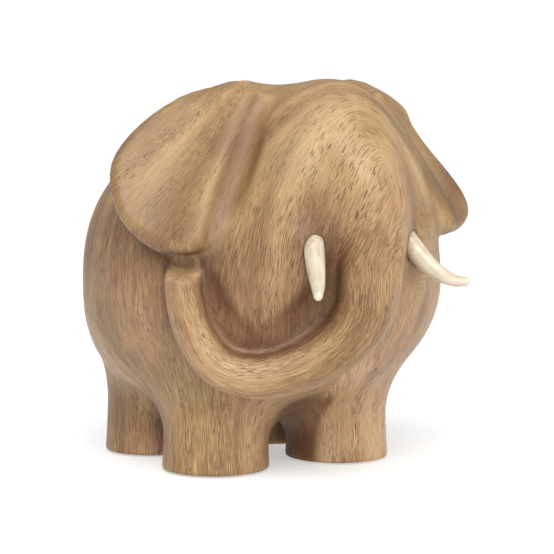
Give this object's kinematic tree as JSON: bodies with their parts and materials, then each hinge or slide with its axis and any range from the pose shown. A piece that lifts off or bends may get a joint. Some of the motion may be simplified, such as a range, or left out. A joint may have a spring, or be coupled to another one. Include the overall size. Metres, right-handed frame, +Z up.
{
  "type": "elephant figurine",
  "caption": "Round-bodied carved wooden elephant with its trunk curled on its chest and let-in white tusks, standing on short legs.",
  "frame": {"origin": "centre of the standing footprint's bounding box, at the height of the surface it stands on", "axes": "+Z up, the elephant faces -Y, its right side is -X"},
  "size_m": [0.2296, 0.2496, 0.2201],
  "materials": {
    "carved_wood": "satin, close open-pored light tan hardwood, sanded and waxed",
    "bone_white": "smooth satin off-white resin with fine brown hairline cracks",
    "dowel_wood": "plain unfinished dowel",
    "felt": "matt brown pressed felt"
  },
  "bodies": {
    "root": {"carved_body": "carved_wood", "tusk_right": "bone_white", "tusk_left": "bone_white", "pin_right": "dowel_wood", "pin_left": "dowel_wood", "pad_front_right": "felt", "pad_front_left": "felt", "pad_rear_right": "felt", "pad_rear_left": "felt"}
  },
  "joints": []
}
